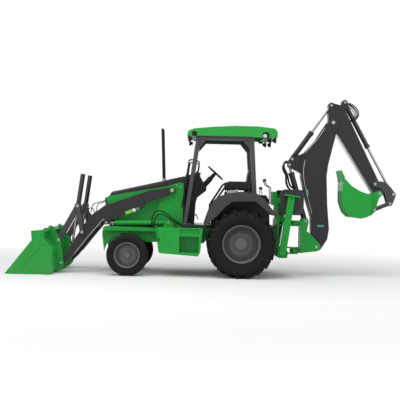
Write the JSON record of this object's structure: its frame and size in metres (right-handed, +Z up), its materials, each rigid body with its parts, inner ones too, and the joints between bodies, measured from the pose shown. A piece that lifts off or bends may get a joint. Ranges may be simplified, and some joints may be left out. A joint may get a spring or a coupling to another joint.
{
  "type": "backhoe loader",
  "caption": "Wheeled loader tractor with a front bucket on lift arms, an open canopy over the seat and a folded digging arm behind.",
  "frame": {"origin": "on the ground, under the middle of the machine's length and on its centre plane", "axes": "+X towards the loader bucket, +Y to the operator's left, +Z up"},
  "size_m": [7.484, 2.18, 3.5129],
  "materials": {
    "green": "machine enamel",
    "canopy_green": "machine enamel",
    "charcoal": "satin enamel",
    "fender_grey": "moulded plastic",
    "axle_black": "satin enamel",
    "engine_grey": "painted casting",
    "black_plastic": "moulded plastic",
    "exhaust_black": "heat-proof enamel",
    "floor_black": "checker plate, painted",
    "lamp_black": "moulded plastic",
    "seat_black": "vinyl cover",
    "cylinder_black": "gloss enamel",
    "rod_chrome": "hard chrome",
    "link_grey": "satin enamel",
    "rim_grey": "satin enamel",
    "tyre": "rubber"
  },
  "bodies": {
    "frame": {"main_frame": "green", "front_axle": "axle_black", "rear_axle": "axle_black", "engine": "engine_grey", "cowl": "charcoal", "side_panels": "green", "exhaust": "exhaust_black", "platform": "floor_black", "fenders": "fender_grey", "step_boxes": "green", "rops_frame": "charcoal", "grab_rails": "axle_black", "canopy_roof": "canopy_green", "work_lamps": "lamp_black", "controls": "black_plastic", "rear_frame": "green"},
    "hood": {"hood_top": "charcoal", "hood_sides": "green", "grille": "black_plastic"},
    "seat": {"seat": "seat_black"},
    "tie_rod": {"tie_rod": "axle_black"},
    "loader_arms": {"loader_arms": "charcoal"},
    "lift_barrels": {"lift_barrels": "green"},
    "lift_rods": {"lift_rods": "rod_chrome"},
    "loader_bucket": {"loader_bucket": "green"},
    "boom_links": {"boom_links": "link_grey"},
    "bucket_links": {"bucket_links": "link_grey"},
    "bucket_barrels": {"bucket_barrels": "cylinder_black"},
    "bucket_rods": {"bucket_rods": "rod_chrome"},
    "swing_frame": {"swing_frame": "green"},
    "boom": {"boom": "charcoal"},
    "boom_barrel": {"boom_barrel": "cylinder_black"},
    "boom_rod": {"boom_rod": "rod_chrome"},
    "dipper": {"dipper": "charcoal"},
    "dipper_barrel": {"dipper_barrel": "cylinder_black"},
    "dipper_rod": {"dipper_rod": "rod_chrome"},
    "backhoe_bucket": {"backhoe_bucket": "green"},
    "crescent_link": {"crescent_link": "link_grey"},
    "backhoe_link": {"backhoe_link": "link_grey"},
    "curl_barrel": {"curl_barrel": "cylinder_black"},
    "curl_rod": {"curl_rod": "rod_chrome"},
    "knuckle_left": {"knuckle_left": "axle_black"},
    "front_wheel_left": {"front_tyre_left": "tyre", "front_rim_left": "rim_grey"},
    "rear_wheel_left": {"rear_tyre_left": "tyre", "rear_rim_left": "rim_grey"},
    "stabilizer_left": {"stabilizer_left": "green"},
    "stabilizer_barrel_left": {"stabilizer_barrel_left": "cylinder_black"},
    "stabilizer_rod_left": {"stabilizer_rod_left": "rod_chrome"},
    "knuckle_right": {"knuckle_right": "axle_black"},
    "front_wheel_right": {"front_tyre_right": "tyre", "front_rim_right": "rim_grey"},
    "rear_wheel_right": {"rear_tyre_right": "tyre", "rear_rim_right": "rim_grey"},
    "stabilizer_right": {"stabilizer_right": "green"},
    "stabilizer_barrel_right": {"stabilizer_barrel_right": "cylinder_black"},
    "stabilizer_rod_right": {"stabilizer_rod_right": "rod_chrome"}
  },
  "joints": [
    {"name": "rear_wheel_left_spin", "type": "hinge", "parent": "frame", "child": "rear_wheel_left", "pos_m": [-0.672, 0.8425, 0.648], "axis": [0, 1, 0], "continuous": true},
    {"name": "rear_wheel_right_spin", "type": "hinge", "parent": "frame", "child": "rear_wheel_right", "pos_m": [-0.672, -0.8425, 0.648], "axis": [0, 1, 0], "continuous": true},
    {"name": "steering_left", "type": "hinge", "parent": "frame", "child": "knuckle_left", "pos_m": [1.47, 0.69, 0.392], "axis": [0, 0, 1], "range_deg": [-45, 45]},
    {"name": "steering_right", "type": "hinge", "parent": "frame", "child": "knuckle_right", "pos_m": [1.47, -0.69, 0.392], "axis": [0, 0, 1], "range_deg": [-45.5, 45.5]},
    {"name": "tie_rod_pivot", "type": "hinge", "parent": "knuckle_left", "child": "tie_rod", "pos_m": [1.285, 0.69, 0.392], "axis": [0, 0, 1], "range_deg": [-45.5, 45.5]},
    {"name": "front_wheel_left_spin", "type": "hinge", "parent": "knuckle_left", "child": "front_wheel_left", "pos_m": [1.47, 0.875, 0.392], "axis": [0, 1, 0], "continuous": true},
    {"name": "front_wheel_right_spin", "type": "hinge", "parent": "knuckle_right", "child": "front_wheel_right", "pos_m": [1.47, -0.875, 0.392], "axis": [0, 1, 0], "continuous": true},
    {"name": "hood_tilt", "type": "hinge", "parent": "frame", "child": "hood", "pos_m": [1.888, 0.355, 0.99], "axis": [0, -1, 0], "range_deg": [-50, 0]},
    {"name": "seat_swivel", "type": "hinge", "parent": "frame", "child": "seat", "pos_m": [-0.622, 0, 1.44], "axis": [0, 0, 1], "range_deg": [0, 180]},
    {"name": "loader_lift", "type": "hinge", "parent": "frame", "child": "loader_arms", "pos_m": [0.664, 0, 1.634], "axis": [0, -1, 0], "range_deg": [0, 78]},
    {"name": "lift_barrel_pivot", "type": "hinge", "parent": "frame", "child": "lift_barrels", "pos_m": [0.719, 0, 1.008], "axis": [0, -1, 0], "range_deg": [-0.5, 65.61]},
    {"name": "lift_rod_slide", "type": "slide", "parent": "lift_barrels", "child": "lift_rods", "axis": [0.9997, 0, -0.0234], "range_m": [-0.002, 0.71625]},
    {"name": "bucket_tilt", "type": "hinge", "parent": "loader_arms", "child": "loader_bucket", "pos_m": [2.765, 0, 0.192], "axis": [0, 1, 0], "range_deg": [-28, 123]},
    {"name": "boom_link_pivot", "type": "hinge", "parent": "loader_arms", "child": "boom_links", "pos_m": [2.373, 0, 0.79], "axis": [0, 1, 0], "range_deg": [-23.06, 99.61]},
    {"name": "bucket_link_pivot", "type": "hinge", "parent": "boom_links", "child": "bucket_links", "pos_m": [2.471, 0, 1.287], "axis": [0, 1, 0], "range_deg": [-90.58, 21.01]},
    {"name": "bucket_barrel_pivot", "type": "hinge", "parent": "boom_links", "child": "bucket_barrels", "pos_m": [2.471, 0, 1.287], "axis": [0, 1, 0], "range_deg": [-21.6, 5.3]},
    {"name": "bucket_rod_slide", "type": "slide", "parent": "bucket_barrels", "child": "bucket_rods", "axis": [-0.1275, 0, 0.9918], "range_m": [-0.11162, 0.48354]},
    {"name": "backhoe_swing", "type": "hinge", "parent": "frame", "child": "swing_frame", "pos_m": [-1.767, 0, 0.6], "axis": [0, 0, 1], "range_deg": [-90, 90]},
    {"name": "boom_lower", "type": "hinge", "parent": "swing_frame", "child": "boom", "pos_m": [-2.192, 0, 0.589], "axis": [0, -1, 0], "range_deg": [0, 110]},
    {"name": "boom_barrel_pivot", "type": "hinge", "parent": "swing_frame", "child": "boom_barrel", "pos_m": [-1.972, 0, 1.091], "axis": [0, -1, 0], "range_deg": [-0.5, 122.83]},
    {"name": "boom_rod_slide", "type": "slide", "parent": "boom_barrel", "child": "boom_rod", "axis": [0.2923, 0, 0.9563], "range_m": [-0.002, 0.8384]},
    {"name": "dipper_out", "type": "hinge", "parent": "boom", "child": "dipper", "pos_m": [-2.477, 0, 3.054], "axis": [0, 1, 0], "range_deg": [0, 112]},
    {"name": "dipper_barrel_pivot", "type": "hinge", "parent": "boom", "child": "dipper_barrel", "pos_m": [-1.684, 0, 2.312], "axis": [0, 1, 0], "range_deg": [-5.83, 0.5]},
    {"name": "dipper_rod_slide", "type": "slide", "parent": "dipper_barrel", "child": "dipper_rod", "axis": [-0.5728, 0, 0.8197], "range_m": [-0.56138, 0.002]},
    {"name": "backhoe_bucket_open", "type": "hinge", "parent": "dipper", "child": "backhoe_bucket", "pos_m": [-3.427, 0, 1.67], "axis": [0, 1, 0], "range_deg": [0, 170]},
    {"name": "crescent_pivot", "type": "hinge", "parent": "dipper", "child": "crescent_link", "pos_m": [-3.336, 0, 1.857], "axis": [0, 1, 0], "range_deg": [-0.5, 119.46]},
    {"name": "backhoe_link_pivot", "type": "hinge", "parent": "crescent_link", "child": "backhoe_link", "pos_m": [-3.639, 0, 1.477], "axis": [0, 1, 0], "range_deg": [-42.17, 0.5]},
    {"name": "curl_barrel_pivot", "type": "hinge", "parent": "dipper", "child": "curl_barrel", "pos_m": [-2.706, 0, 3.461], "axis": [0, 1, 0], "range_deg": [-1.76, 0.5]},
    {"name": "curl_rod_slide", "type": "slide", "parent": "curl_barrel", "child": "curl_rod", "axis": [-0.4836, 0, -0.8753], "range_m": [-0.71251, 0.002]},
    {"name": "stabilizer_left_fold", "type": "hinge", "parent": "frame", "child": "stabilizer_left", "pos_m": [-1.472, 0.72, 0.47], "axis": [0.991, 0, 0.134], "range_deg": [-115, 0]},
    {"name": "stabilizer_barrel_left_pivot", "type": "hinge", "parent": "frame", "child": "stabilizer_barrel_left", "pos_m": [-1.55775, 0.375, 1.10423], "axis": [0.991, 0, 0.134], "range_deg": [-0.5, 14.95]},
    {"name": "stabilizer_rod_left_slide", "type": "slide", "parent": "stabilizer_barrel_left", "child": "stabilizer_rod_left", "axis": [0.1203, 0.4406, -0.8896], "range_m": [-0.002, 0.25458]},
    {"name": "stabilizer_right_fold", "type": "hinge", "parent": "frame", "child": "stabilizer_right", "pos_m": [-1.472, -0.72, 0.47], "axis": [-0.991, 0, -0.134], "range_deg": [-115, 0]},
    {"name": "stabilizer_barrel_right_pivot", "type": "hinge", "parent": "frame", "child": "stabilizer_barrel_right", "pos_m": [-1.55775, -0.375, 1.10423], "axis": [-0.991, 0, -0.134], "range_deg": [-0.5, 14.95]},
    {"name": "stabilizer_rod_right_slide", "type": "slide", "parent": "stabilizer_barrel_right", "child": "stabilizer_rod_right", "axis": [0.1203, -0.4406, -0.8896], "range_m": [-0.002, 0.25458]}
  ],
  "couplings": [
    {"joint": "steering_right", "follows": "steering_left", "ratio": 1},
    {"joint": "tie_rod_pivot", "follows": "steering_left", "ratio": -1},
    {"joint": "lift_barrel_pivot", "follows": "loader_lift", "ratio": 0.83468},
    {"joint": "lift_rod_slide", "follows": "loader_lift", "m_per_rad": 0.52466},
    {"joint": "boom_link_pivot", "follows": "bucket_tilt", "ratio": 0.8058},
    {"joint": "bucket_link_pivot", "follows": "bucket_tilt", "ratio": -0.7324},
    {"joint": "bucket_barrel_pivot", "follows": "bucket_tilt", "ratio": -0.17158},
    {"joint": "bucket_rod_slide", "follows": "bucket_tilt", "m_per_rad": 0.22431},
    {"joint": "boom_barrel_pivot", "follows": "boom_lower", "ratio": 1.1121},
    {"joint": "boom_rod_slide", "follows": "boom_lower", "m_per_rad": 0.43566},
    {"joint": "dipper_barrel_pivot", "follows": "dipper_out", "ratio": -0.047562},
    {"joint": "dipper_rod_slide", "follows": "dipper_out", "m_per_rad": -0.28616},
    {"joint": "crescent_pivot", "follows": "backhoe_bucket_open", "ratio": 0.69974},
    {"joint": "backhoe_link_pivot", "follows": "backhoe_bucket_open", "ratio": -0.2451},
    {"joint": "curl_barrel_pivot", "follows": "backhoe_bucket_open", "ratio": -0.007397},
    {"joint": "curl_rod_slide", "follows": "backhoe_bucket_open", "m_per_rad": -0.23947},
    {"joint": "stabilizer_barrel_left_pivot", "follows": "stabilizer_left_fold", "ratio": -0.12568},
    {"joint": "stabilizer_rod_left_slide", "follows": "stabilizer_left_fold", "m_per_rad": -0.12584},
    {"joint": "stabilizer_barrel_right_pivot", "follows": "stabilizer_right_fold", "ratio": -0.12568},
    {"joint": "stabilizer_rod_right_slide", "follows": "stabilizer_right_fold", "m_per_rad": -0.12584}
  ]
}
